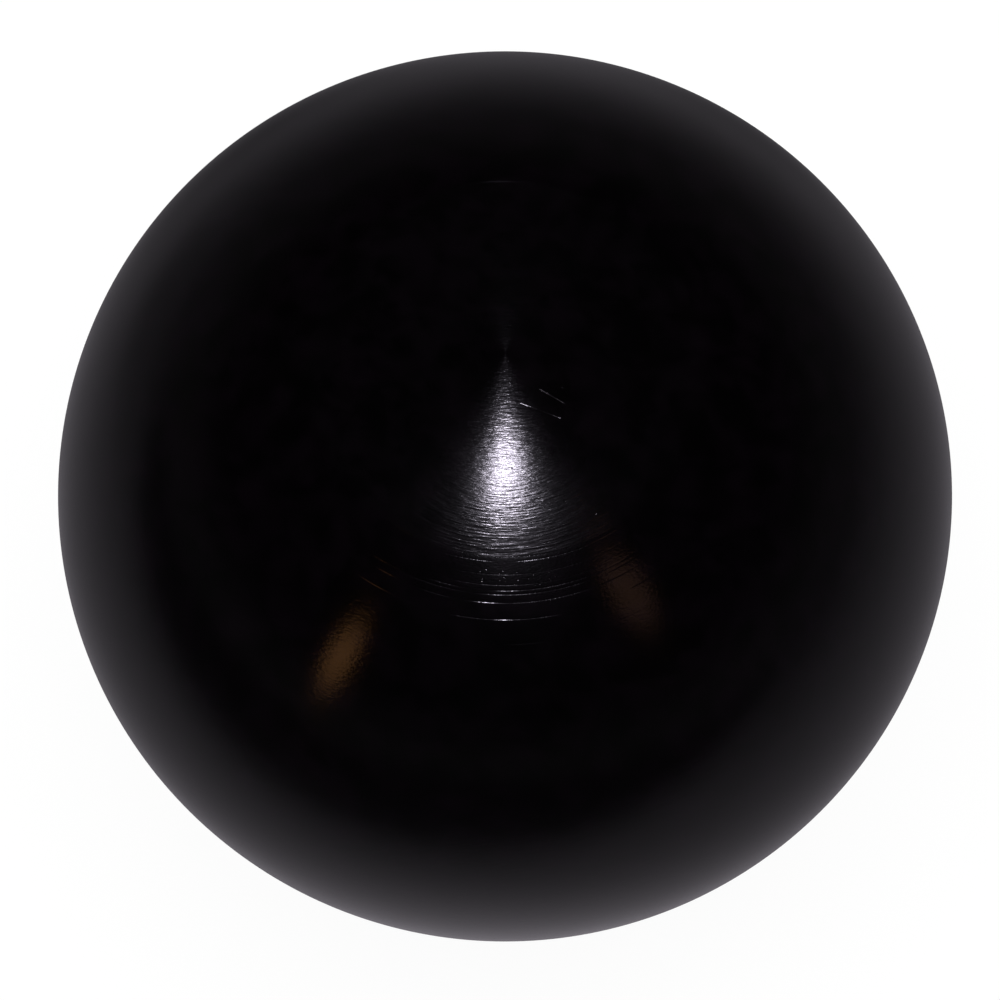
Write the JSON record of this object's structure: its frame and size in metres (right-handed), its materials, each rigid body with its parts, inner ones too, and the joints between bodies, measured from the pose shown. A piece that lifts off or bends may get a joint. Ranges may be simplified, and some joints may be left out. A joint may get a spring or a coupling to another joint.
{
  "type": "lawn bowl",
  "caption": "Black composition lawn bowl, turned slightly fuller on one side so that it curves as it rolls, with a round mount inlaid in each side.",
  "frame": {"origin": "centre of the flat land that the bowl lies on, round the bias side's mount, at the bottom of the whole part", "axes": "+Z along the running axis, from the bias side up to the plain side; the part is turned about it, so +X and +Y are free"},
  "size_m": [0.121, 0.121, 0.1131],
  "materials": {
    "polished_composition": "black phenolic composition, turned and polished to a semi-gloss, with very fine turning lines round the running axis",
    "mount_composition": "black composition, turned and polished together with the bowl, slightly finer than the body",
    "cured_adhesive": "amber cured resin adhesive, satin, hidden under the mounts"
  },
  "bodies": {
    "root": {"bowl_body": "polished_composition", "plain_side_mount": "mount_composition", "bias_side_mount": "mount_composition", "plain_side_adhesive": "cured_adhesive", "bias_side_adhesive": "cured_adhesive"}
  },
  "joints": []
}
